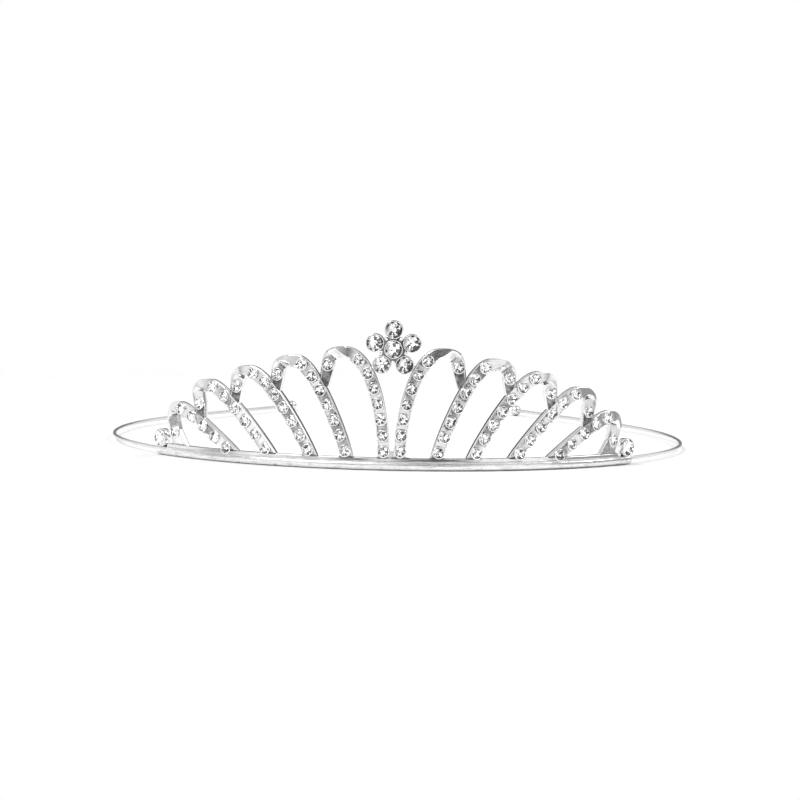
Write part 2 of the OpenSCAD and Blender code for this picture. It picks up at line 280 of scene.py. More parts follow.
# %% Table top
FLOOR_R = 3.0
FADE_FROM, FADE_TO = 0.10, 0.26

sheet = new_material("white table")
tree = sheet.node_tree
spot = add(tree, "ShaderNodeTexCoord").outputs["Object"]
paper = add(tree, "ShaderNodeBsdfPrincipled", {
    "Base Color": blend(tree, noise_at(tree, spot, 900.0, 3.0), grey(0.93), grey(0.97)),
    "Roughness": 0.55,
    "Specular IOR Level": 0.25,
})
away = add(tree, "ShaderNodeVectorMath", {0: spot}, operation="LENGTH").outputs["Value"]
clear = add(tree, "ShaderNodeBsdfTransparent")
surface(tree, add(tree, "ShaderNodeMixShader", {
    "Fac": spread(tree, away, FADE_FROM, FADE_TO, curve="SMOOTHSTEP"),
    1: paper.outputs[0],
    2: clear.outputs[0],
}))

floor_mesh = bpy.data.meshes.new("floor")
corners = [(FLOOR_R * x, FLOOR_R * y, 0) for x, y in ((-1, -1), (1, -1), (1, 1), (-1, 1))]
floor_mesh.from_pydata(corners, [], [(0, 1, 2, 3)])
floor_mesh.materials.append(sheet)
floor = bpy.data.objects.new("floor", floor_mesh)
scene.collection.objects.link(floor)
print("table top fades from", FADE_FROM, "to", FADE_TO, "m")

# %% [markdown]
# ## Finishes
# All the metal is one silver plating, but it doesn't look the same everywhere. The flat fronts of
# the arches are polished along the arch. The channels between the stones are as they came from the
# mould, grainy and a little tarnished. The bar is brushed along its length and slightly pitted.
# One function makes them all, with the amount of each effect as its arguments.
#
# Patterns are read in millimetres from the object's own coordinates, or from the piece's UV map,
# which runs along the piece in its first number and across it in its second. A number on the mesh
# says how far the polishing wheel got, so one material can cover a whole piece. Over 1 the same number
# paints the metal nearly black, as solder burn and as painted shade. Crevices are darkened, partly as
# tarnished metal and partly as painted shade.

# %% Silver
BACK_CAST = 1.15
BURN_AND_SHADE = 2.0
TARNISH_AND_SHADE_GREY, BURN_AND_SHADE_GREY = 0.12, 0.08


def silver(name, bright=0.93, dull=0.5, rough=(0.08, 0.26), streak=0.5, grain=0.3,
           stretch=(0.25, 4.0), tarnish_and_shade=0.55, marks=0.3, pits=0.0):
    """A plated finish. The number on the mesh is 0 where it is polished, 1 where it is as cast and
    tarnished, a little over 1 on the backs, where the tarnished patches have soft edges, and 2 where it is
    painted nearly black: solder burn, and painted shade at the feet, the joints, under the tabs' steps and
    inside the cups' lips. Crevices are darkened, partly as tarnished metal and partly as painted shade."""
    made = new_material(name)
    tree = made.node_tree
    place = place_in_mm(tree)
    uv = add(tree, "ShaderNodeTexCoord").outputs["UV"]
    lengthwise = add(tree, "ShaderNodeMapping", {"Vector": uv, "Scale": (*stretch, 1)}).outputs[0]
    recess = mesh_value(tree, "recess")
    cloud = noise_at(tree, place, 1.1, 3.0, 0.6)
    sand = noise_at(tree, place, 7.0, 3.0, 0.65)
    brush = noise_at(tree, lengthwise, 1.0, 4.0, 0.7)
    patch = noise_at(tree, place, 0.17, 2.0)
    crevice = add(tree, "ShaderNodeAmbientOcclusion", {"Distance": 0.0007}, samples=6).outputs["AO"]

    shade = spread(tree, cloud, 0.35, 0.7)
    polished = blend(tree, shade, grey(bright), grey(bright * 0.9))
    polished = blend(tree, spread(tree, brush, 0.52, 0.68, 0.0, marks), polished, grey(0.35))

    blur = spread(tree, recess, 1.0, BACK_CAST, 0.0, 0.13)
    stain_from = calc(tree, "SUBTRACT", 0.49, blur)
    stain_to = calc(tree, "ADD", 0.56, blur)
    stained = blend(tree, spread(tree, patch, stain_from, stain_to), grey(dull * 1.5), grey(dull * 0.2))
    cast = blend(tree, spread(tree, sand, 0.45, 0.65), stained, grey(bright * 0.95))

    skin = blend(tree, spread(tree, recess, 0.0, 1.0), polished, cast)
    spots = spread(tree, cloud, 0.35, 0.6, 1.0, 0.5)
    # Above 1 the finish number paints the metal nearly black in patches: solder burn, and painted shade at
    # the feet, the joints, the tabs' steps and the cups' lips.
    burn_and_shade = calc(tree, "MULTIPLY", spread(tree, recess, 1.0, 1.8), spots)
    skin = blend(tree, burn_and_shade, skin, grey(BURN_AND_SHADE_GREY))
    # Crevices found by ambient occlusion are painted darker: partly tarnished metal, partly painted shade.
    skin = blend(tree, spread(tree, crevice, 0.25, 0.85, tarnish_and_shade, 0.0), skin, grey(TARNISH_AND_SHADE_GREY))

    soft = spread(tree, brush, 0.3, 0.7, rough[0], rough[1])
    wear_and_shade = calc(tree, "ADD", soft, calc(tree, "MULTIPLY", recess, 0.2))
    ripple = calc(tree, "MULTIPLY", brush, streak)
    gritty = calc(tree, "MULTIPLY", sand, calc(tree, "ADD", calc(tree, "MULTIPLY", recess, 0.9), grain))
    relief = calc(tree, "ADD", ripple, gritty)
    if pits:
        holes = add(tree, "ShaderNodeTexVoronoi", {"Vector": place, "Scale": 0.24}).outputs[0]
        relief = calc(tree, "SUBTRACT", relief, spread(tree, holes, 0.0, 0.09, pits, 0.0, "SMOOTHSTEP"))
        skin = blend(tree, spread(tree, holes, 0.05, 0.08, 0.9, 0.0), skin, grey(0.05))
    bump = add(tree, "ShaderNodeBump", {"Height": relief, "Strength": 0.35, "Distance": 0.00005})
    surface(tree, add(tree, "ShaderNodeBsdfPrincipled", {
        "Base Color": skin, "Metallic": 1.0, "Roughness": wear_and_shade, "Normal": bump.outputs[0],
    }))
    return made


arch_silver = silver("cast_silver", dull=0.64)
bar_silver = silver("brushed_bar", bright=0.9, rough=(0.12, 0.34), streak=1.6, grain=0.5,
                    stretch=(0.3, 3.2), tarnish_and_shade=0.25, marks=0.6, pits=0.8)
solder_grey = silver("solder", bright=0.7, dull=0.42, rough=(0.25, 0.45), streak=0.4, grain=0.9)
cup_silver = silver("cup_silver", bright=0.95, dull=0.85, rough=(0.06, 0.16), streak=0.1, grain=0.15,
                    tarnish_and_shade=0.1, marks=0.0)
wire_silver = silver("drawn_wire", bright=0.76, rough=(0.22, 0.4), grain=0.2, tarnish_and_shade=0.2)
ball_silver = silver("polished_ball", bright=0.84, rough=(0.04, 0.12), streak=0.1, grain=0.15,
                     tarnish_and_shade=0.3, marks=0.1)
print("finishes:", len(bpy.data.materials))

# %% [markdown]
# ## Glass
# A rhinestone is clear cut glass with a mirror foil behind it. Light goes in through the crown,
# bounces off the foil and comes out somewhere else, and that is what breaks its face into black and
# white splinters. A picture of splinters would stay the same from every side, so each stone here has
# both real parts: a crown of refracting glass, and a pavilion that is a mirror. Foil is never
# perfect, so some facets of the pavilion are dull at random, and more of them are painted dull on the
# lower right of each stone, as painted shade.


# %% Glass and foil
def cut_glass():
    made = new_material("cut_glass")
    tree = made.node_tree
    haze = noise_at(tree, place_in_mm(tree), 1.5, 2.0)
    surface(tree, add(tree, "ShaderNodeBsdfPrincipled", {
        "Base Color": blend(tree, haze, (0.97, 0.98, 1.0, 1), (1.0, 1.0, 1.0, 1)),
        "Roughness": spread(tree, haze, 0.3, 0.7, 0.0, 0.02),
        "IOR": 1.56,
        "Transmission Weight": 1.0,
    }))
    return made


LOST_LIGHT = 0.42
DULL_FOIL, BRIGHT_FOIL = 0.14, 0.97


def foil_back():
    """Each facet mixes its own number with one of its stone's, so that no two stones match, and is dark if
    that falls under its `dull` share, which is higher on the lower right as painted shade. A little glow on
    the others makes up for the light that goes to and fro in the stone more often than a renderer follows
    it."""
    made = new_material("foil_back")
    tree = made.node_tree
    own = calc(tree, "MULTIPLY", mesh_value(tree, "sparkle"), 7.0)
    mixed = calc(tree, "FRACT", calc(tree, "ADD", mesh_value(tree, "facet"), own))
    over = calc(tree, "SUBTRACT", mixed, mesh_value(tree, "dull"))
    tone = spread(tree, over, 0.0, 0.05)
    surface(tree, add(tree, "ShaderNodeBsdfPrincipled", {
        "Base Color": blend(tree, tone, grey(DULL_FOIL), grey(BRIGHT_FOIL)),
        "Metallic": 1.0,
        "Roughness": 0.04,
        "Emission Color": (1, 1, 1, 1),
        "Emission Strength": calc(tree, "MULTIPLY", tone, LOST_LIGHT),
    }))
    return made


glass, foil = cut_glass(), foil_back()
print("stones are made of", glass.name, "and", foil.name)

# %% [markdown]
# ## From points to pieces
# Meshes are made from plain lists of points, in millimetres round the middle of the headband's
# circle. The crown is described on an unrolled sheet, as a paper pattern is: s runs along the
# headband, z goes up and n comes out towards the viewer. `wrap` rolls the sheet up. Most pieces are
# lofts, a skin over a row of rings, because the real ones are rods and bands that change on their way.


# %% Mesh helpers
def wrap(s, z, n=0.0):
    angle = math.radians(s / ARC_MM)
    return ((FRONT_R + n) * math.sin(angle), -(FRONT_R + n) * math.cos(angle), z)


def on_sheet(point):
    """Unrolls a point: its s and z."""
    return math.degrees(math.atan2(point.x, -point.y)) * ARC_MM, point.z


def to_metres(point):
    x, y, z = point
    return (x * MM, (y + CIRCLE_Y) * MM, z * MM)


def new_object(name, points, faces=(), materials=(), edges=(), placed=True):
    """An object at the origin, with its place in its mesh."""
    mesh = bpy.data.meshes.new(name)
    in_metres = [to_metres(p) if placed else tuple(v * MM for v in p) for p in points]
    mesh.from_pydata(in_metres, edges, faces)
    for material in materials:
        mesh.materials.append(material)
    made = bpy.data.objects.new(name, mesh)
    scene.collection.objects.link(made)
    return made


def smooth(piece, sharp=35):
    """Smooth shading, with edges over this many degrees left crisp."""
    piece.data.polygons.foreach_set("use_smooth", [True] * len(piece.data.polygons))
    piece.data.set_sharp_from_angle(angle=math.radians(sharp))


def store(piece, name, values, kind="FLOAT", domain="POINT"):
    """Writes one number for each point or face."""
    layer = piece.data.attributes.new(name, kind, domain)
    layer.data.foreach_set("value", values)


def face_out(piece):
    """Turns a closed skin right side out, by the sign of its volume."""
    if sum(face.center.dot(face.normal) * face.area for face in piece.data.polygons) < 0:
        piece.data.flip_normals()


def lengths(points):
    """How far each point is along the line through all of them."""
    far = [0.0]
    for one, two in zip(points, points[1:]):
        far.append(far[-1] + (Vector(two) - Vector(one)).length)
    return far


def loft(name, rings, material, recess=None):
    """A closed skin over rings with equally many points, with a UV map that runs along and round it."""
    count, sides = len(rings), len(rings[0])
    points = [p for ring in rings for p in ring]
    faces = []
    for k in range(count - 1):
        for j in range(sides):
            a, b = k * sides + j, k * sides + (j + 1) % sides
            faces.append((a, b, b + sides, a + sides))
    faces.append(tuple(range(sides - 1, -1, -1)))
    faces.append(tuple((count - 1) * sides + j for j in range(sides)))
    made = new_object(name, points, faces, [material])
    along, round_it = lengths([ring[0] for ring in rings]), lengths(rings[0] + rings[0][:1])
    layer = made.data.uv_layers.new(name="UVMap")
    for face in made.data.polygons:
        for loop in face.loop_indices:
            k, j = divmod(made.data.loops[loop].vertex_index, sides)
            wrapped = len(face.vertices) == 4 and j == 0 and (face.vertices[1] % sides == 0)
            layer.data[loop].uv = (along[k], round_it[sides if wrapped else j])
    store(made, "recess", recess or [0.0] * len(points))
    face_out(made)
    return made


def dress(piece, slot, *nodes):
    """Hangs a piece on the root body and hides the imported solids that it stands for. Its slot is not used.
    """
    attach(piece, "root")
    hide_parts(*nodes)
    return piece


print("the front of the crown is", round(wrap(0, 0)[1] + CIRCLE_Y, 2), "mm from the origin in y")

# %% [markdown]
# ## Where the arches run
# An arch is one band that leaves the bar as a long leg, leans outwards like a petal, turns over and
# comes down as a short leg that ends on the next arch. Its middle line is two curves on the sheet.
# The table holds the same shares as the part's own, a row for each arch from the middle outwards.

# %% Middle lines of the arches
ARCHES = [
    # foot, apex, high, rise, lean, reach, shoulder, drop, land, low, tilt
    (0.0307, 0.1710, 1.000, 0.34, -4, 0.71, 0.95, 0.94, 0.2330, 0.882, -5),
    (0.1570, 0.3520, 0.906, 0.08, -11, 0.39, 1.06, 1.00, 0.4228, 0.775, -1),
    (0.2860, 0.5385, 0.785, 0.05, -17, 0.37, 0.97, 1.00, 0.5901, 0.636, -1),
    (0.4416, 0.7066, 0.628, 0.06, -17, 0.25, 1.64, 1.26, 0.7613, 0.446, 14),
    (0.5960, 0.8640, 0.386, 0.05, 6, 0.23, 1.66, 1.27, 0.8895, 0.153, 15),
]
ROOT_Z = BAR_D * 0.75
TAIL_RUN = ARCH_W * 1.65
LEG_END, SHORT_END, TAIL_END = 14, 26, 28
SIDES = {"left": -1, "right": 1}


def way(degrees):
    return Vector((math.sin(math.radians(degrees)), math.cos(math.radians(degrees))))


def bezier(p, t):
    u = 1 - t
    return p[0] * u**3 + p[1] * (3 * t * u * u) + p[2] * (3 * t * t * u) + p[3] * t**3


def middle_line(row):
    """A function that gives the middle line's point at a station from 0, the foot, to 28, the end."""
    foot_at, apex_at, high, rise, lean, reach, shoulder, drop, land_at, low_at, tilt = row
    span = BAR_HALF_ANGLE * ARC_MM
    foot = Vector((foot_at * span, ROOT_Z))
    apex = Vector((apex_at * span, BAR_D + high * ARCH_H))
    land = Vector((land_at * span, BAR_D + low_at * ARCH_H))
    leg = (foot, foot + way(lean) * rise * (apex.y - ROOT_Z),
           apex - Vector((reach * (apex.x - foot.x), 0)), apex)
    short = (apex, apex + Vector((shoulder * ARCH_W, 0)), land + way(tilt) * drop * ARCH_W, land)
    end = land - way(tilt) * TAIL_RUN

    def at(station):
        if station <= LEG_END:
            return bezier(leg, station / LEG_END)
        if station <= SHORT_END:
            return bezier(short, (station - LEG_END) / (SHORT_END - LEG_END))
        return land.lerp(end, (station - SHORT_END) / (TAIL_END - SHORT_END))

    return at


print("feet at", [round(middle_line(row)(0).x, 1) for row in ARCHES], "mm from the middle")

# %% [markdown]
# ## Where the stones sit
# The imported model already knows: each row of stones is one node with several separate solids. The
# solids are told apart by joining corners that share a face, and a stone's girdle lies a known
# distance behind its table. Reading the places keeps every stone inside its own solid.


# %% Read the stones' places
def stone_places(node, size):
    """The middle of each stone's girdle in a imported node, on the circle's own frame, in millimetres."""
    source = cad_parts[node].data
    key_of = {v.index: tuple(round(c / MM, 2) for c in v.co) for v in source.vertices}
    group = {}

    def root(key):
        while group.get(key, key) != key:
            key = group[key]
        return key

    for face in source.polygons:
        keys = [root(key_of[v]) for v in face.vertices]
        for key in keys[1:]:
            group[root(key)] = root(keys[0])
    stones = {}
    for key in dict.fromkeys(key_of.values()):
        stones.setdefault(root(key), []).append(Vector(key) - Vector((0, CIRCLE_Y, 0)))
    places = []
    for corners in stones.values():
        middle = sum(corners, Vector()) / len(corners)
        facing = Vector((middle.x, middle.y, 0)).normalized()
        table = max(p.dot(facing) for p in corners)
        girdle = table - size * CROWN_SHARE
        places.append((middle + facing * (girdle - middle.dot(facing)), facing))
    return sorted(places, key=lambda place: place[0].z)


rows = {}
for side_name in SIDES:
    for number in range(1, len(ARCHES) + 1):
        node = f"arch_stones_{side_name}_{number}"
        rows[node] = stone_places(node, STONE_D)
print("small stones:", sum(len(places) for places in rows.values()))

# %% [markdown]
# ## The arches
# Each arch is a loft: a section is moved along the middle line and changes on its way. On the long
# leg it is a channel between two thin rims, in which the stones stand. Towards the top the channel
# closes to a polished flat, leaned a little backwards. Just past the leg's last stone the flat
# narrows to a point, while the inner side is scooped into a dish. A small tab, set back behind a
# thin outer rim, ends the short leg and carries its stone. A loft in code is the way to go, because
# every one of these changes is a function of the place along the arch. Under each stone the band is
# sunk to make room for it.

# %% Section of an arch
# Stations along the arch at which something starts and ends
TURN_FROM, TURN_TO = LEG_END * 0.72, LEG_END + (SHORT_END - LEG_END) * 0.62
CHANNEL_END, CHANNEL_RUN = 10.5, 1.2
LEAN_FROM, LEAN_TO = 9.6, 12.0
SETBACK_FROM, SETBACK_TO, LEAN_GONE = 18, 23, 22
TAB_FROM, TAB_TO = 20.9, 21.5
UNDERCUT_FROM, UNDERCUT_TO = 20.6, 21.35
JOINT_FROM, JOINT_TO = 25.9, 26.4
# Depths and lengths in millimetres
CHANNEL, CHANNEL_SEEN = 0.16, 0.02
DISH, LEAST_FALL = 1.15, 0.02
STEP_BACK, TAB_SLOPE = 0.45, 0.04
RIM_SETBACK = 0.1
LEAN = 0.42
EDGE = 0.12
# Shares of the width, and how recessed each finish is; the joint's number paints solder burn and painted
# shade
FULL_CREST, CREST_LEFT = 0.97, 0.1
TAIL_LEFT, FOOT_FLARE = 0.35, 1.35
DISH_CURVE, DISH_EASE = 1.6, 0.25
RIM_SHARE, UNDERCUT_IN = 0.1, 0.35
DISH_CAST, TAB_CAST, JOINT_BURN_AND_SHADE = 0.45, 0.9, 1.8
# Places across the flat front, from the outer edge inwards, and whether each is in the channel
FLAT = ((0, 0), (0.05, 0), (0.09, 0), (0.14, 1), (0.26, 1), (0.4, 1), (0.5, 1), (0.6, 1), (0.74, 1),
        (0.86, 1), (0.91, 0), (0.97, 0))
# Places across the dish, from the flat's inner edge to the arch's
HOLLOW = (0.0, 0.06, 0.16, 0.3, 0.46, 0.62, 0.78, 0.9, 1.0)


def ramp(x, x0, x1):
    return min(1.0, max(0.0, (x - x0) / (x1 - x0)))


def ease(x):
    return x * x * (3 - 2 * x)


def arch_section(x, last, flat):
    """Points of the section at a station: place across, depth, and how recessed it is, with painted shade at
    the joint and a painted shadow under the tab's step.
    """
    turn = ramp(x, TURN_FROM, TURN_TO)
    tab = ease(ramp(x, TAB_FROM, TAB_TO))
    tail = ramp(x, SHORT_END, TAIL_END)
    narrowing = ramp(x, *flat)
    set_back = RIM_SETBACK * ramp(x, SETBACK_FROM, SETBACK_TO)
    half = ARCH_W / 2
    inner = half * (1 + FOOT_FLARE * tail if last else 1 - (1 - TAIL_LEFT) * tail)
    width = half + inner
    crest = width * (FULL_CREST - (FULL_CREST - CREST_LEFT) * narrowing)
    deep = CHANNEL * (1 - ease(ramp(x, CHANNEL_END - CHANNEL_RUN, CHANNEL_END)))
    fall = DISH * turn * (1 - DISH_EASE * ramp(x, SETBACK_FROM, TAB_FROM)) + LEAST_FALL
    lean = LEAN * ease(ramp(x, LEAN_FROM, LEAN_TO)) * (1 - ease(ramp(x, SETBACK_FROM, LEAN_GONE)))
    # Where the tail lands on the next arch, the front is painted dark: solder burn and painted shade where
    # the two meet.
    joint = 0.0 if last else ease(ramp(x, JOINT_FROM, JOINT_TO))
    front = []
    for share, channelled in FLAT:
        offset = half - crest * share
        tipped = lean * max(0.0, 1 - (half - offset) / width)
        cast = float(channelled and deep > CHANNEL_SEEN)
        front.append((offset, set_back + deep * channelled + tipped, max(joint * JOINT_BURN_AND_SHADE, cast)))
    for share in HOLLOW:
        dished = fall * (1 - (1 - share) ** DISH_CURVE)
        plate = (STEP_BACK - set_back) * ease(min(1.0, share / RIM_SHARE)) + TAB_SLOPE * share
        depth = set_back + dished * (1 - tab) + plate * tab
        wear_and_shade = tab * (TAB_CAST + joint) if share > RIM_SHARE / 2 else 0.0
        if RIM_SHARE < share < 1 - RIM_SHARE:
            wear_and_shade = max(wear_and_shade, DISH_CAST * narrowing)
        # A thin line just under the tab's step is a painted shadow.
        if share > UNDERCUT_IN and UNDERCUT_FROM < x < UNDERCUT_TO:
            wear_and_shade = BURN_AND_SHADE
        front.append((half - crest - (width - crest) * share, depth, wear_and_shade))
    side = [
        (-inner, front[-1][1] + EDGE, 0.0),
        (-inner, ARCH_T - 2 * EDGE, 0.0),
        (-inner + EDGE, ARCH_T - EDGE / 2, BACK_CAST / 2),
        (-inner + 2 * EDGE, ARCH_T, BACK_CAST),
        (half - 2 * EDGE, ARCH_T, BACK_CAST),
        (half - EDGE, ARCH_T - EDGE / 2, BACK_CAST / 2),
        (half, ARCH_T - 2 * EDGE, 0.0),
        (half, front[0][1] + EDGE, 0.0),
    ]
    front[0] = (half - EDGE * 0.3, front[0][1] + EDGE * 0.3, 0.0)
    front[-1] = (front[-1][0] + EDGE * 0.3, front[-1][1] + EDGE * 0.2, front[-1][2])
    return front + side


print("points in a section:", len(arch_section(0, False, (11, 16))))

# %% Loft the arches
LEG_STATIONS, SHORT_STATIONS, TAIL_STATIONS = 84, 60, 12
TANGENT_STEP = 0.05
FINE = 20  # steps to a station, where a place is searched for
FLAT_START, FLAT_RUN = 0.9, 4.4
SEAT_R, SEAT_DEPTH = 1.12, 0.95
FOOT_TOP = BAR_D + 0.6
FOOT_BACK, FOOT_SOFT, BURN_AND_SHADE_UP = 0.3, 0.05, 0.45


def stations():
    """Places along an arch, close together where its section changes quickly."""
    leg = [LEG_END * k / LEG_STATIONS for k in range(LEG_STATIONS)]
    short = [LEG_END + (SHORT_END - LEG_END) * k / SHORT_STATIONS for k in range(SHORT_STATIONS)]
    tail = [SHORT_END + (TAIL_END - SHORT_END) * k / TAIL_STATIONS for k in range(TAIL_STATIONS + 1)]
    return leg + short + tail


def flat_range(line, leg_seats):
    """Stations between which the flat narrows to a point: it starts just past the leg's last stone."""
    steps = [k / FINE for k in range(FINE * SHORT_END + 1)]
    places = [line(x) for x in steps]
    far = lengths(places)

    def station_at(length):
        return next((x for x, reached in zip(steps, far) if reached >= length), SHORT_END)

    start = FLAT_START + max(
        far[min(range(len(steps)), key=lambda k: (places[k] - seat).length)] for seat in leg_seats)
    return station_at(start), station_at(start + FLAT_RUN)


def foot_and_seats(x, s, z, depth, wear_and_shade, last, seats):
    """Darkens the front at a foot on the rail, as solder burn and painted shade, sets it back there, and
    sinks it under each stone.
    """
    if x < LEG_END / 2 or last:
        # Solder burn and painted shade, darkest where the leg meets the rail.
        wear_and_shade = max(wear_and_shade, BURN_AND_SHADE * ease(ramp(z, FOOT_TOP + BURN_AND_SHADE_UP, FOOT_TOP)))
        depth = max(depth, FOOT_BACK * ease(ramp(z, FOOT_TOP + FOOT_SOFT, FOOT_TOP - FOOT_SOFT)))
    if min(math.hypot(s - seat[0], z - seat[1]) for seat in seats) < SEAT_R:
        depth, wear_and_shade = max(depth, SEAT_DEPTH), 1.0
    return depth, wear_and_shade


def make_arch(side_name, number):
    side, last = SIDES[side_name], number == len(ARCHES)
    line = middle_line(ARCHES[number - 1])
    seats = [on_sheet(place) for place, _ in rows[f"arch_stones_{side_name}_{number}"]]
    tab_z = line(TAB_FROM).y
    leg_seats = [Vector((s * side, z)) for s, z in seats if z > tab_z or s * side < line(LEG_END).x]
    flat = flat_range(line, leg_seats)
    rings, recess = [], []
    for x in stations():
        along = line(min(TAIL_END, x + TANGENT_STEP)) - line(max(0, x - TANGENT_STEP))
        outwards = Vector((-along.y, along.x)).normalized()
        ring = []
        for offset, depth, wear_and_shade in arch_section(x, last, flat):
            at = line(x) + outwards * offset
            s = at.x * side
            if depth < ARCH_T / 2:
                depth, wear_and_shade = foot_and_seats(x, s, at.y, depth, wear_and_shade, last, seats)
            ring.append(wrap(s, at.y, -depth))
            recess.append(wear_and_shade)
        rings.append(ring)
    piece = loft(f"arch_{side_name}_{number}", rings, arch_silver, recess)
    smooth(piece)
    return dress(piece, "plated_casting", "crown_frame")


arches = [make_arch(side_name, number) for side_name in SIDES for number in range(1, len(ARCHES) + 1)]
print("arches:", len(arches), "faces each:", len(arches[0].data.polygons))

# %% [markdown]
# ## The stones
# All the stones are round brilliants, so each size is cut once and then set many times. A brilliant
# has a table with eight sides, a crown of stars, kites and halves, a thin girdle and a pavilion of
# eight mains with their halves. It could be carved by cutting a cone with planes, but the facets
# are so regular that their corners can be written down ring by ring, and each facet can then carry
# its own number for the foil.

# %% Cut one brilliant
TABLE_SHARE, GIRDLE_SHARE, PAVILION_SHARE = 0.56, 0.045, 0.31
STAR_OUT, STAR_UP = 0.39, 0.56
HALF_IN, HALF_DOWN = 0.32, 0.74
GLASS_ABOVE = 0.001
SHADOW_AT = -60
DULL_MIDDLE = 0.12


def dull_and_shade_share(degrees, plain, dark):
    """How likely a facet's foil is dark: at random, and more so on the lower right, as painted shade."""
    turned_away = 0.5 + 0.5 * math.cos(math.radians(degrees - SHADOW_AT))
    return plain + dark * turned_away**2


def brilliant_points(size):
    """Corners of a stone, from the table down to the culet, and halfway points on the pavilion's facets."""
    girdle_z, culet_z = -size * GIRDLE_SHARE, -size * (GIRDLE_SHARE + PAVILION_SHARE)

    def ring(radius, z, count, turn):
        step = 2 * math.pi / count
        return [(radius * math.cos((k + turn) * step), radius * math.sin((k + turn) * step), z)
                for k in range(count)]

    points = ring(size * TABLE_SHARE / 2, size * CROWN_SHARE, 8, 0)
    points += ring(size * STAR_OUT, size * CROWN_SHARE * STAR_UP, 8, 0.5)
    points += ring(size / 2, 0, 16, 0)
    low_edge = ring(size / 2, girdle_z, 16, 0)
    deep = ring(size / 2 * HALF_IN, girdle_z + (culet_z - girdle_z) * HALF_DOWN, 8, 0.5)
    points += low_edge + deep + [(0, 0, culet_z)]
    for k in range(8):
        for n in (2 * k, 2 * k + 1, (2 * k + 2) % 16):
            points.append(tuple((Vector(low_edge[n]) + Vector(deep[k])) / 2))
    return points


def brilliant(name, size, plain, dark):
    """A stone with its table towards +Z and the front of its girdle at 0, in millimetres. Each facet of the
    pavilion is two faces in one plane, so that its outer part can get another foil tone than its inner part;
    on a main facet only the outer part gets the painted shade of the lower right."""
    points = brilliant_points(size)
    star, top_edge, low_edge, deep, culet, halfway = 8, 16, 32, 48, 56, 57  # first corner of each ring
    faces, facet, dull = [tuple(range(8))], [0.0], [0.0]
    for k in range(8):
        after, before = (k + 1) % 8, (k - 1) % 8
        g, mid, g_after = 2 * k, 2 * k + 1, (2 * k + 2) % 16
        one = halfway + 3 * k
        two, three = one + 1, one + 2
        crown = [
            (k, star + k, after),
            (k, star + before, top_edge + g, star + k),
            (star + k, top_edge + g, top_edge + mid),
            (star + k, top_edge + mid, top_edge + g_after),
        ]
        belt = [
            (top_edge + g, low_edge + g, low_edge + mid, top_edge + mid),
            (top_edge + mid, low_edge + mid, low_edge + g_after, top_edge + g_after),
        ]
        pavilion = [
            (low_edge + g, one, two, low_edge + mid),
            (one, deep + k, two),
            (low_edge + mid, two, three, low_edge + g_after),
            (two, deep + k, three),
            (low_edge + g, halfway + 3 * before + 2, deep + before, deep + k, one),
            (deep + before, culet, deep + k),
        ]
        faces += crown + belt + pavilion
        tones = (0.55 + 0.07 * k, 0.33 + 0.59 * k, 0.1 + 0.31 * k, 0.85 + 0.13 * k, 0.7 + 0.23 * k,
                 0.25 + 0.41 * k)
        facet += [0.0] * len(crown) + [0.3] * len(belt) + [tone % 1.0 for tone in tones]
        dull += [0.0] * len(crown) + [1.0] * len(belt)
        # Dull facets fall at random, and more of them on the lower right as painted shade.
        dull += [dull_and_shade_share(45 * k + at, plain, dark) for at in (15, 15, 30, 30, 0)] + [DULL_MIDDLE]
    made = new_object(name, points, faces, placed=False)
    in_crown = [max(points[v][2] for v in face) > GLASS_ABOVE for face in faces]
    store(made, "facet", facet, domain="FACE")
    store(made, "dull", dull, domain="FACE")
    store(made, "is_glass", in_crown, "BOOLEAN", "FACE")
    store(made, "is_foil", [not clear for clear in in_crown], "BOOLEAN", "FACE")
    return made


small_stone = brilliant("small_stone", STONE_D, plain=0.32, dark=0.3)
big_stone = brilliant("big_stone", BIG_D, plain=0.17, dark=0.65)
print("facets of a stone:", len(small_stone.data.polygons))

# %% [markdown]
# ## The cups
# Each small cup is a thin ring with a rounded lip that is pressed over the stone, and each large one
# a small can with a floor. Both are round, so a profile turned on a lathe says all there is to say.

# %% Turn the cups
CUP_SIDES = 40
CUP_EDGE, FLOOR_EDGE, FLOOR_SHARE = 0.05, 0.02, 0.5
# Radius, height and how recessed, up the outside, over the lip and down the inside. On the small lip's
# inside, 2 paints a thin ring of shade where the lip is pressed over the stone.
SMALL_LIP = [(1.32, 0.0, 0), (1.305, 0.05, 0), (1.26, 0.09, 0), (1.2, 0.1, 0.2),
             (1.13, 0.1, 1.0), (1.08, 0.09, 2.0), (1.1, 0.065, 2.0), (1.2, -0.03, 1.0)]
BIG_LIP = [(1.93, -0.04, 0), (1.915, 0.01, 0), (1.88, 0.042, 0), (1.84, 0.05, 0),
           (1.76, 0.03, 0), (1.74, -0.01, 0.4), (1.78, -0.08, 1.0)]


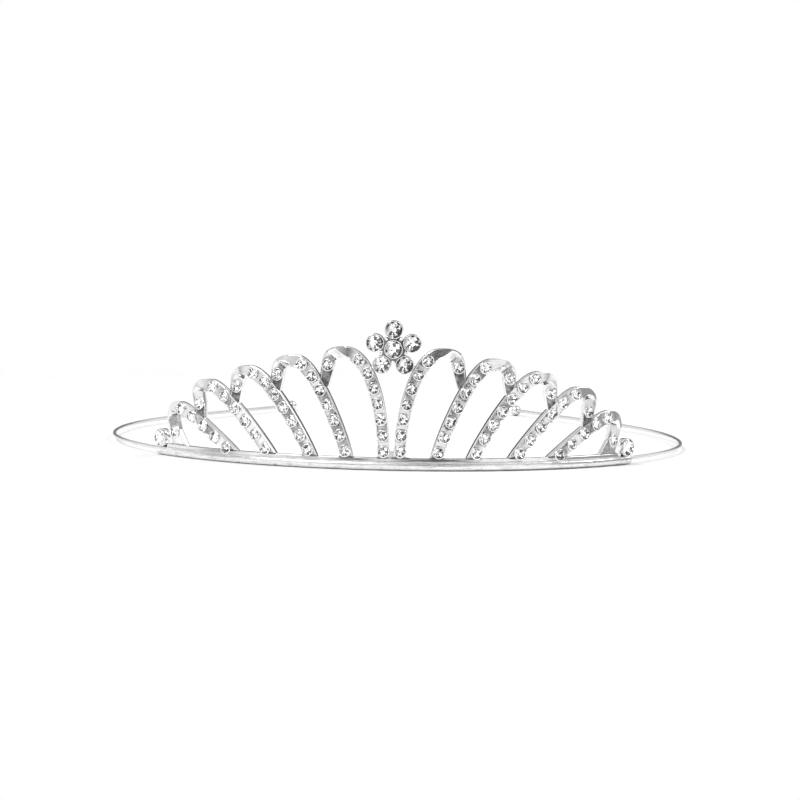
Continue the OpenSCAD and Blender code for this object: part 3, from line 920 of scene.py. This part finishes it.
def cup(name, lip, back, bottom=None):
    """A lathe-turned cup round the girdle's front at 0: a ring, or a can if it has a bottom, whose back is
    then left as cast."""
    outer, inner = lip[0][0], lip[-1][0]
    as_cast = 0.0 if bottom is None else BACK_CAST
    profile = [(outer - CUP_EDGE, back, as_cast), (outer, back + CUP_EDGE, 0.0)] + lip
    profile += [(inner, (bottom or back) + FLOOR_EDGE, 1.0)]
    if bottom is not None:
        profile += [(inner * FLOOR_SHARE, bottom, 1.0)]
    points, recess = [], []
    for k in range(CUP_SIDES):
        angle = 2 * math.pi * k / CUP_SIDES
        points += [(r * math.cos(angle), r * math.sin(angle), z) for r, z, _ in profile]
        recess += [wear_and_shade for _, _, wear_and_shade in profile]
    length = len(profile)
    faces = []
    for k in range(CUP_SIDES):
        here, after = k * length, (k + 1) % CUP_SIDES * length
        for j in range(length if bottom is None else length - 1):
            j2 = (j + 1) % length
            faces.append((here + j, after + j, after + j2, here + j2))
    if bottom is not None:
        faces.append(tuple(k * length + length - 1 for k in range(CUP_SIDES)))
        faces.append(tuple(k * length for k in range(CUP_SIDES - 1, -1, -1)))
    made = new_object(name, points, faces, placed=False)
    smooth(made, 50)
    store(made, "recess", recess)
    return made


small_cup = cup("small_cup", SMALL_LIP, back=-0.62)
big_cup = cup("big_cup", BIG_LIP, back=-1.84, bottom=-1.6)
print("faces of the cups:", len(small_cup.data.polygons), "and", len(big_cup.data.polygons))

# %% [markdown]
# ## Trees that place things
# What repeats by a rule or follows a path is a job for Geometry Nodes: stones in a row, drops of
# solder, a wire. These helpers make a tree with named inputs, run it on a piece and leave a plain
# mesh, so that nothing has to be worked out again later.


# %% Geometry Nodes helpers
def node_group(name, inputs):
    """A tree with a geometry in and out and some named inputs, the inputs' identifiers and sockets."""
    tree = bpy.data.node_groups.new(name, "GeometryNodeTree")
    for in_out in ("INPUT", "OUTPUT"):
        tree.interface.new_socket(name="Geometry", in_out=in_out, socket_type="NodeSocketGeometry")
    ids = {}
    for label, (kind, value) in inputs.items():
        made = tree.interface.new_socket(name=label, in_out="INPUT", socket_type="NodeSocket" + kind)
        ids[label] = made.identifier
        if value is not None:
            made.default_value = value
    return tree, ids, add(tree, "NodeGroupInput").outputs


def named(tree, name, kind="FLOAT_VECTOR"):
    """What the points or faces carry under this name."""
    return add(tree, "GeometryNodeInputNamedAttribute", {"Name": name}, data_type=kind).outputs["Attribute"]


def scaled(tree, vector, factor):
    return add(tree, "ShaderNodeVectorMath", {0: vector, "Scale": factor}, operation="SCALE").outputs[0]


def coat(tree, geometry, material, **where):
    inputs = {"Geometry": geometry, "Material": material, **where}
    return add(tree, "GeometryNodeSetMaterial", inputs).outputs[0]


def realize(tree, geometry):
    return add(tree, "GeometryNodeRealizeInstances", {"Geometry": geometry}).outputs[0]


def freeze(piece):
    """Leaves a plain mesh in place of a piece's modifiers."""
    graph = bpy.context.evaluated_depsgraph_get()
    result = bpy.data.meshes.new_from_object(piece.evaluated_get(graph), depsgraph=graph)
    piece.modifiers.clear()
    piece.data = result
    result.name = piece.name


def run_tree(piece, tree, ids, settings):
    """Runs a tree on a piece with its inputs set by name."""
    modifier = piece.modifiers.new("nodes", "NODES")
    modifier.node_group = tree
    for label, value in settings.items():
        modifier[ids[label]] = value
    freeze(piece)


# %% [markdown]
# ## Setting the stones
# A row of stones comes in as bare points, each with the direction in which it faces. The tree puts a
# stone and a cup on every point, gives each stone its own turn and a slight tilt, as a hand-set
# stone has, joins everything and hands out the materials by the marks on the faces.

# %% The stone setter
TILT = 2.0


def stone_setter():
    tree, ids, given = node_group("Set stones", {
        "Stone": ("Object", None), "Cup": ("Object", None), "Tilt": ("Float", math.radians(TILT)),
        "Seed": ("Int", 1), "Metal": ("Material", None), "Glass": ("Material", None),
        "Foil": ("Material", None),
    })
    straight = add(tree, "FunctionNodeAlignRotationToVector", {"Vector": named(tree, "facing")},
                   axis="Z").outputs[0]

    def shaken(low, high, offset):
        """A random number or vector for each stone."""
        is_vector = isinstance(low, tuple)
        made = add(tree, "FunctionNodeRandomValue", {
            "Min": low, "Max": high, "Seed": calc(tree, "ADD", given["Seed"], offset),
        }, data_type="FLOAT_VECTOR" if is_vector else "FLOAT")
        return made.outputs[0 if is_vector else 1]

    def on_points(thing, rotation):
        shape = add(tree, "GeometryNodeObjectInfo", {"Object": given[thing]}).outputs["Geometry"]
        return add(tree, "GeometryNodeInstanceOnPoints", {
            "Points": given["Geometry"], "Instance": shape, "Rotation": rotation,
        }).outputs[0]

    spin = add(tree, "ShaderNodeCombineXYZ", {"Z": shaken(0.0, math.tau / 8, 11)}).outputs[0]
    lean = scaled(tree, shaken((-1, -1, 0), (1, 1, 0), 23), given["Tilt"])
    turned = add(tree, "ShaderNodeVectorMath", {0: lean, 1: spin}, operation="ADD").outputs[0]
    local = add(tree, "FunctionNodeEulerToRotation", {0: turned}).outputs[0]
    hand_set = add(tree, "FunctionNodeRotateRotation", {"Rotation": straight, "Rotate By": local},
                   rotation_space="LOCAL").outputs[0]
    stones = add(tree, "GeometryNodeStoreNamedAttribute", {
        "Geometry": on_points("Stone", hand_set), "Name": "sparkle", "Value": shaken(0.0, 1.0, 37),
    }, data_type="FLOAT", domain="INSTANCE").outputs[0]
    both = tree.nodes.new("GeometryNodeJoinGeometry")
    tree.links.new(stones, both.inputs[0])
    tree.links.new(on_points("Cup", straight), both.inputs[0])
    done = coat(tree, realize(tree, both.outputs[0]), given["Metal"])
    for name, label in (("is_glass", "Glass"), ("is_foil", "Foil")):
        done = coat(tree, done, given[label], Selection=named(tree, name, "BOOLEAN"))
    add(tree, "NodeGroupOutput", {"Geometry": done})
    return tree, ids


setter = stone_setter()


def set_stones(name, node, places, stone, ring, seed):
    """One piece that holds every stone of a node and its cups."""
    piece = new_object(name, [tuple(place) for place, _ in places])
    facing = piece.data.attributes.new("facing", "FLOAT_VECTOR", "POINT")
    for entry, (_, direction) in zip(facing.data, places):
        entry.vector = direction
    run_tree(piece, *setter, {
        "Stone": stone, "Cup": ring, "Tilt": math.radians(TILT), "Seed": seed,
        "Metal": cup_silver, "Glass": glass, "Foil": foil,
    })
    dress(piece, "clear_stone", node)


# %% Set every stone
for seed, (node, places) in enumerate(rows.items(), start=1):
    set_stones(node.replace("arch_stones", "stone_row"), node, places, small_stone, small_cup, seed)

SINK = 0.06
BIG_NODES = ["flower_stone_centre", "end_stone_left", "end_stone_right"]
BIG_NODES += [f"petal_stone_{number}" for number in range(1, 6)]
for seed, node in enumerate(BIG_NODES, start=51):
    places = [(place - facing * SINK, facing) for place, facing in stone_places(node, BIG_D)]
    set_stones("set_" + node, node, places, big_stone, big_cup, seed)

for pattern in (small_stone, big_stone, small_cup, big_cup):
    bpy.data.objects.remove(pattern)
print("stones set in", len(rows) + len(BIG_NODES), "pieces")

# %% [markdown]
# ## The base bar
# The bar is a round rod, bent to the headband's circle and drilled for the wire. Hand work shows on
# it: it is never quite even, and its ends are rounded off with a file. A bent cylinder would be too
# perfect, so a loft round the arc does it, with a few hundredths of a millimetre of noise on its
# radius.


# %% Sweep round the headband
def swept(name, shares, half_angle, profile_at, material, sharp=35):
    """A loft round the headband, over the profile of (outwards, up) points at each share of an angle."""
    rings = []
    for share in shares:
        angle = share * half_angle
        turn = math.radians(angle)
        rings.append([((BAND_R + out) * math.sin(turn), -(BAND_R + out) * math.cos(turn), z)
                      for out, z in profile_at(angle)])
    piece = loft(name, rings, material)
    smooth(piece, sharp)
    return dress(piece, "plated_casting", "crown_frame")


def even(steps):
    """Numbers from -1 to 1 in even steps."""
    return [2 * k / steps - 1 for k in range(steps + 1)]


BAR_STATIONS, BAR_SIDES = 300, 28
BAR_BUNCH = 1.25
END_ROUND = 0.3
UNEVEN, SLOW_WAVE, FAST_WAVE = 0.018, 0.35, 1.7


def bar_radius(angle, around):
    """Radius of the rod, a little uneven, and rounded off over the last of its length."""
    x, y = math.cos(around), math.sin(around)
    wobble = noise.noise(Vector((angle * SLOW_WAVE, x, y))) * UNEVEN
    wobble += noise.noise(Vector((angle * FAST_WAVE, 3 + x, y))) * UNEVEN * 0.5
    left = math.radians(BAR_HALF_ANGLE - abs(angle)) * BAND_R
    rounding = END_ROUND - math.sqrt(max(0, END_ROUND**2 - max(0, END_ROUND - left) ** 2))
    return BAR_D / 2 * (1 - UNEVEN + wobble) - rounding


def bar_profile(angle):
    profile = []
    for j in range(BAR_SIDES):
        around = math.tau * j / BAR_SIDES
        r = bar_radius(angle, around)
        profile.append((r * math.cos(around), max(0.0, BAR_D / 2 + r * math.sin(around))))
    return profile


bunched = [math.copysign(1 - (1 - abs(share)) ** BAR_BUNCH, share) for share in even(BAR_STATIONS)]
bar = swept("base_bar", bunched, BAR_HALF_ANGLE, bar_profile, bar_silver, 40)
print("bar faces:", len(bar.data.polygons))

# %% [markdown]
# ## Rail and seam
# The arches stand on a flat rail that is soldered along the top of the bar. It is a bar of its own
# in the real thing too, so it is swept as a box with softened edges, and a thin uneven string of
# solder is swept along the corner where the two meet.

# %% Rail on the bar
RAIL_STATIONS = 240
RAIL_SHARE, RAIL_IN = 0.93, 0.15
RAIL_HALF_ANGLE = BAR_HALF_ANGLE * RAIL_SHARE
RAIL_T, RAIL_EDGE = 1.4, 0.12
RAIL_FRONT = FRONT_R - RAIL_IN - BAND_R
RAIL_WAVE, RAIL_LOW = 0.03, 0.02


def rail_profile(angle):
    lift = noise.noise(Vector((angle * 0.5, 8, 0))) * RAIL_WAVE
    low_z, high_z = BAR_D / 2, FOOT_TOP + lift - RAIL_LOW
    front, back, near = RAIL_FRONT, RAIL_FRONT - RAIL_T, RAIL_EDGE * 0.3
    return [
        (front, low_z), (front, high_z - RAIL_EDGE), (front - near, high_z - near),
        (front - RAIL_EDGE, high_z), (back + RAIL_EDGE, high_z),
        (back + near, high_z - near), (back, high_z - RAIL_EDGE), (back, low_z),
    ]


rail = swept("bar_rail", even(RAIL_STATIONS), RAIL_HALF_ANGLE, rail_profile, arch_silver, 50)
print("rail faces:", len(rail.data.polygons))

# %% Solder along the rail
SEAM_STATIONS, SEAM_SIDES = 400, 10
SEAM_HALF_ANGLE = RAIL_HALF_ANGLE - 0.3
SEAM_R, SEAM_UNEVEN = 0.17, 0.07
SEAM_IN, SEAM_DOWN = 0.06, 0.22


def seam_profile(angle):
    fat = SEAM_R + noise.noise(Vector((angle * 0.9, 0, 4))) * SEAM_UNEVEN
    turns = [math.tau * j / SEAM_SIDES for j in range(SEAM_SIDES)]
    return [(RAIL_FRONT - SEAM_IN + fat * math.cos(a), BAR_D - SEAM_DOWN + fat * math.sin(a)) for a in turns]


seam = swept("bar_seam", even(SEAM_STATIONS), SEAM_HALF_ANGLE, seam_profile, solder_grey)
print("seam faces:", len(seam.data.polygons))

# %% [markdown]
# ## Middle web and the back of the flower
# A small web fills the space between the two middle feet. Behind the flower a round plate joins the
# cups, and two short bridges of solder hold it to the innermost arches. They are plain pieces, so a
# box and three short rods with softened edges are enough.


# %% Web, plate and bridges
def plain_piece(name, points, faces, edge, wear_and_shade):
    """A closed body of the frame with its edges rounded for good and one finish all over."""
    piece = new_object(name, points, faces, [arch_silver])
    bevel = piece.modifiers.new("bevel", "BEVEL")
    bevel.width = edge * MM
    bevel.segments = 3
    bevel.limit_method = "ANGLE"
    freeze(piece)
    smooth(piece, 40)
    store(piece, "recess", [wear_and_shade] * len(piece.data.vertices))
    dress(piece, "plated_casting", "crown_frame")


def circle(middle, first, second, radius, sides):
    """Points round a middle, in the plane of two directions."""
    turns = [math.tau * j / sides for j in range(sides)]
    return [tuple(middle + (first * math.cos(a) + second * math.sin(a)) * radius) for a in turns]


def plain_rod(name, start, end, radius, sides, edge, wear_and_shade):
    """A round body between two points."""
    axis = (end - start).normalized()
    first = axis.orthogonal().normalized()
    second = axis.cross(first)
    points = [p for middle in (start, end) for p in circle(middle, first, second, radius, sides)]
    faces = [(j, (j + 1) % sides, sides + (j + 1) % sides, sides + j) for j in range(sides)]
    faces += [tuple(range(sides - 1, -1, -1)), tuple(range(sides, 2 * sides))]
    plain_piece(name, points, faces, edge, wear_and_shade)


WEB_W, WEB_IN, WEB_T, WEB_TOP = 2.2, 0.5, 1.1, BAR_D + 1.9
front, back = -FRONT_R + WEB_IN, -FRONT_R + WEB_IN + WEB_T
corners = [(x * WEB_W / 2, y, z) for z in (BAR_D / 2, WEB_TOP)
           for x, y in ((-1, front), (1, front), (1, back), (-1, back))]
box_faces = [(3, 2, 1, 0), (4, 5, 6, 7), (0, 1, 5, 4), (1, 2, 6, 5), (2, 3, 7, 6), (3, 0, 4, 7)]
plain_piece("middle_web", corners, box_faces, edge=0.15, wear_and_shade=0.6)

PETAL_R, FLOWER_UP, LOW_PETAL_AT = 4.05, 1.1, 144
HEART_Z = BAR_D + ARCH_H + FLOWER_UP
PLATE_R, PLATE_T, PLATE_IN = 2.9, 0.7, 1.9
plate_y = -FRONT_R - (FLOWER_OUT - PLATE_IN)
plain_rod("flower_plate", Vector((0, plate_y, HEART_Z)), Vector((0, plate_y - PLATE_T, HEART_Z)),
          PLATE_R, sides=40, edge=0.12, wear_and_shade=BACK_CAST)

BRIDGE_IN, BRIDGE_LEN, BRIDGE_DROP, BRIDGE_R = 0.8, 3.1, 25, 0.65
petal = way(LOW_PETAL_AT) * PETAL_R
for side_name, side in SIDES.items():
    turn = Matrix.Rotation(math.radians(side * petal.x / ARC_MM), 3, "Z")
    start = Vector((0, -FRONT_R + BRIDGE_IN, HEART_Z + petal.y))
    run = Vector((side * math.cos(math.radians(BRIDGE_DROP)), 0, -math.sin(math.radians(BRIDGE_DROP))))
    plain_rod(f"flower_bridge_{side_name}", turn @ start, turn @ (start + run * BRIDGE_LEN),
              BRIDGE_R, sides=24, edge=0.2, wear_and_shade=0.5)
print("flower's middle at z =", round(HEART_Z, 2), "mm")

# %% [markdown]
# ## Solder
# The crown is put together by hand, and its joints show small runs of solder: dark across each foot
# on the rail, as solder burn and painted shade, and as bright beads between the petals. They are all one
# round drop, stretched and turned, so a second tree puts a drop on points that carry its size, its
# direction and its finish number, which for the feet paints solder burn and shade, and then makes it a
# little uneven.

# %% The solder dropper
SOLDER_UNEVEN = 0.16


def solder_dropper():
    tree, ids, given = node_group("Drop solder", {
        "Unevenness": ("Float", SOLDER_UNEVEN * MM), "Metal": ("Material", None),
    })
    turned = add(tree, "FunctionNodeAxesToRotation", {
        "Primary Axis": named(tree, "facing"), "Secondary Axis": named(tree, "run"),
    }, primary_axis="Z", secondary_axis="X").outputs[0]
    drop = add(tree, "GeometryNodeMeshIcoSphere", {"Radius": 1.0, "Subdivisions": 3}).outputs["Mesh"]
    drops = add(tree, "GeometryNodeInstanceOnPoints", {
        "Points": given["Geometry"], "Instance": drop, "Rotation": turned, "Scale": named(tree, "size"),
    }).outputs[0]
    lumps = add(tree, "ShaderNodeTexNoise", {
        "Vector": add(tree, "GeometryNodeInputPosition").outputs[0], "Scale": 1.3 / MM, "Detail": 1.0,
    }).outputs["Color"]
    centred = add(tree, "ShaderNodeVectorMath", {0: lumps, 1: (0.5, 0.5, 0.5)},
                  operation="SUBTRACT").outputs[0]
    uneven = add(tree, "GeometryNodeSetPosition", {
        "Geometry": realize(tree, drops), "Offset": scaled(tree, centred, given["Unevenness"]),
    }).outputs[0]
    soft = add(tree, "GeometryNodeSetShadeSmooth", {"Geometry": uneven}).outputs[0]
    add(tree, "NodeGroupOutput", {"Geometry": coat(tree, soft, given["Metal"])})
    return tree, ids


dropper = solder_dropper()


def drop_solder(name, drops, metal):
    """Each drop is its place on the sheet (s, z, n), its direction there, its half sizes and its finish
    number, which at the feet paints solder burn and shade.
    """
    piece = new_object(name, [wrap(*place) for place, _, _, _ in drops])
    layers = [piece.data.attributes.new(key, "FLOAT_VECTOR", "POINT") for key in ("facing", "run", "size")]
    for index, (place, run, size, _) in enumerate(drops):
        angle = math.radians(place[0] / ARC_MM)
        out = Vector((math.sin(angle), -math.cos(angle), 0))
        across = Vector((math.cos(angle), math.sin(angle), 0))
        vectors = (out, across * run[0] + Vector((0, 0, run[1])), Vector(size) * MM)
        for layer, vector in zip(layers, vectors):
            layer.data[index].vector = vector
    store(piece, "recess", [burn_and_shade for _, _, _, burn_and_shade in drops])
    run_tree(piece, *dropper, {"Metal": metal, "Unevenness": SOLDER_UNEVEN * MM})
    dress(piece, "plated_casting", "crown_frame")


# %% Solder at the feet and in the flower
FOOT_HALF, FOOT_HIGH, FOOT_OUT = 1.75, 0.19, 0.26
SKEW_SHIFT, SKEW_TILT = 0.5, 0.04
FOOT_LIFT, FOOT_IN = 0.03, 0.1
foot_drops = []
for side_name, side in SIDES.items():
    for number, row in enumerate(ARCHES, start=1):
        line = middle_line(row)
        rise = (line(k / FINE) for k in range(FINE * SHORT_END))
        foot_x = next(at.x for at in rise if at.y >= FOOT_TOP)
        skew = noise.noise(Vector((number * 1.7, side, 0.3)))
        place = (side * foot_x + skew * SKEW_SHIFT, FOOT_TOP + FOOT_LIFT, -FOOT_IN)
        size = (FOOT_HALF + skew, FOOT_HIGH, FOOT_OUT)
        # The drops across the feet are painted nearly black: solder burn and painted shade.
        foot_drops.append((place, (1, SKEW_TILT * skew), size, BURN_AND_SHADE))
drop_solder("foot_solder", foot_drops, solder_grey)

BEAD_AT, BEAD_R, BEAD_IN = 2.62, 0.5, 0.35
beads = []
for k in range(5):
    around = math.radians(36 + 72 * k)
    place = (BEAD_AT * math.sin(around), HEART_Z + BEAD_AT * math.cos(around), FLOWER_OUT - BEAD_IN)
    beads.append((place, (math.cos(around), math.sin(around)), (BEAD_R, BEAD_R * 0.8, BEAD_R), 0.1))
drop_solder("flower_beads", beads, cup_silver)
print("drops of solder:", len(foot_drops) + len(beads))

# %% [markdown]
# ## The wire
# Each arm is one length of hard drawn wire: an arc of the headband's circle, a wide bend inwards
# and a straight end. A wire is a circle moved along a path, which is what Curve to Mesh does, so
# the arms are made by a third tree, with the wire's radius and its number of sides as inputs.

# %% Path of an arm
WIRE_D, BALL_D = 0.8, 2.7
WIRE_Z = BALL_D / 2
SIDE_ANGLE, SIDE_R, SIDE_BEND, TAIL_LEN = 90, 80, 33, 43
WIRE_GRIP, GRIP_GAP = 7, 0.3
ARC_STEPS, TAIL_STEPS, WIRE_SIDES = 60, 20, 20


def arm_path(side):
    """Points along the middle of an arm, from inside the bar to inside its ball."""
    start = math.radians(BAR_HALF_ANGLE) - (WIRE_GRIP - GRIP_GAP) / BAND_R
    bend, turned_to = math.radians(SIDE_ANGLE), math.radians(SIDE_ANGLE + SIDE_BEND)
    centre = Vector((math.sin(bend), -math.cos(bend))) * (BAND_R - SIDE_R)
    path = []
    for k in range(ARC_STEPS):
        a = start + (bend - start) * k / ARC_STEPS
        path.append(Vector((math.sin(a), -math.cos(a))) * BAND_R)
    for k in range(ARC_STEPS + 1):
        a = bend + (turned_to - bend) * k / ARC_STEPS
        path.append(centre + Vector((math.sin(a), -math.cos(a))) * SIDE_R)
    forward = Vector((math.cos(turned_to), math.sin(turned_to)))
    path += [path[-1] + forward * TAIL_LEN * k / TAIL_STEPS for k in range(1, TAIL_STEPS + 1)]
    return [(side * p.x, p.y, WIRE_Z) for p in path], (path[-1], forward)


def wire_drawer():
    tree, ids, given = node_group("Draw wire", {
        "Radius": ("Float", WIRE_D / 2 * MM), "Sides": ("Int", WIRE_SIDES), "Metal": ("Material", None),
    })
    path = add(tree, "GeometryNodeMeshToCurve", {"Mesh": given["Geometry"]}).outputs[0]
    outline = add(tree, "GeometryNodeCurvePrimitiveCircle", {
        "Resolution": given["Sides"], "Radius": given["Radius"],
    }).outputs[0]
    tube = add(tree, "GeometryNodeCurveToMesh", {
        "Curve": path, "Profile Curve": outline, "Fill Caps": True,
    }).outputs[0]
    add(tree, "NodeGroupOutput", {"Geometry": coat(tree, realize(tree, tube), given["Metal"])})
    return tree, ids


drawer = wire_drawer()
print("points along an arm:", len(arm_path(1)[0]))

# %% [markdown]
# ## Arms and balls
# The wire ends in a polished ball with a blind hole, into which it is pressed. A ball with a mouth is
# a turned part, so it is lofted from the bottom of the hole, out over the mouth and round to the far
# side. Its underside is painted darker, as painted shade: its finish turns to as cast towards the bottom.

# %% Draw the arms and turn the balls
BALL_HOLE, BORE_GAP = 1.6, 0.05
BALL_RINGS, BALL_SIDES = 30, 48
SHY, LIP_IN = 0.01, 0.05
UNDERSIDE_SHADE_OVER, UNDERSIDE_SHADE_DEPTH = 0.1, 0.8


def ball(name, middle, forward):
    """A polished ball with a drilled mouth where the wire goes in."""
    axis = Vector((*forward, 0))
    first = Vector((0, 0, 1))
    second = axis.cross(first)
    radius, hole = BALL_D / 2 - SHY, WIRE_D / 2 + BORE_GAP
    mouth = math.asin(hole / radius)
    profile = [(BALL_HOLE - radius, hole), (-radius * math.cos(mouth) + LIP_IN, hole)]
    for k in range(BALL_RINGS):
        a = math.pi - mouth - (math.pi - mouth) * k / BALL_RINGS
        profile.append((radius * math.cos(a), radius * math.sin(a)))
    rings, recess = [], []
    for out, r in profile:
        rings.append(circle(Vector(middle) + axis * out, first, second, r, BALL_SIDES))
        # Painted shade: the finish number rises towards the bottom of the ball.
        recess += [ramp(z, WIRE_Z + UNDERSIDE_SHADE_OVER, WIRE_Z - radius * UNDERSIDE_SHADE_DEPTH) for _, _, z in rings[-1]]
    piece = loft(name, rings, ball_silver, recess)
    smooth(piece, 45)
    return piece


for side_name, side in SIDES.items():
    path, (tip, forward) = arm_path(side)
    arm = new_object(f"spring_wire_{side_name}", path, edges=[(k, k + 1) for k in range(len(path) - 1)])
    run_tree(arm, *drawer, {"Radius": WIRE_D / 2 * MM, "Sides": WIRE_SIDES, "Metal": wire_silver})
    smooth(arm, 60)
    dress(arm, "plated_wire", f"wire_arm_{side_name}")
    reach = tip + forward * (BALL_D / 2 - BALL_HOLE + BORE_GAP)
    knob = ball(f"ball_{side_name}", (side * reach.x, reach.y, WIRE_Z), (side * forward.x, forward.y))
    dress(knob, "polished_ball", f"ball_tip_{side_name}")
print("faces of an arm:", len(arm.data.polygons), "and of a ball:", len(knob.data.polygons))
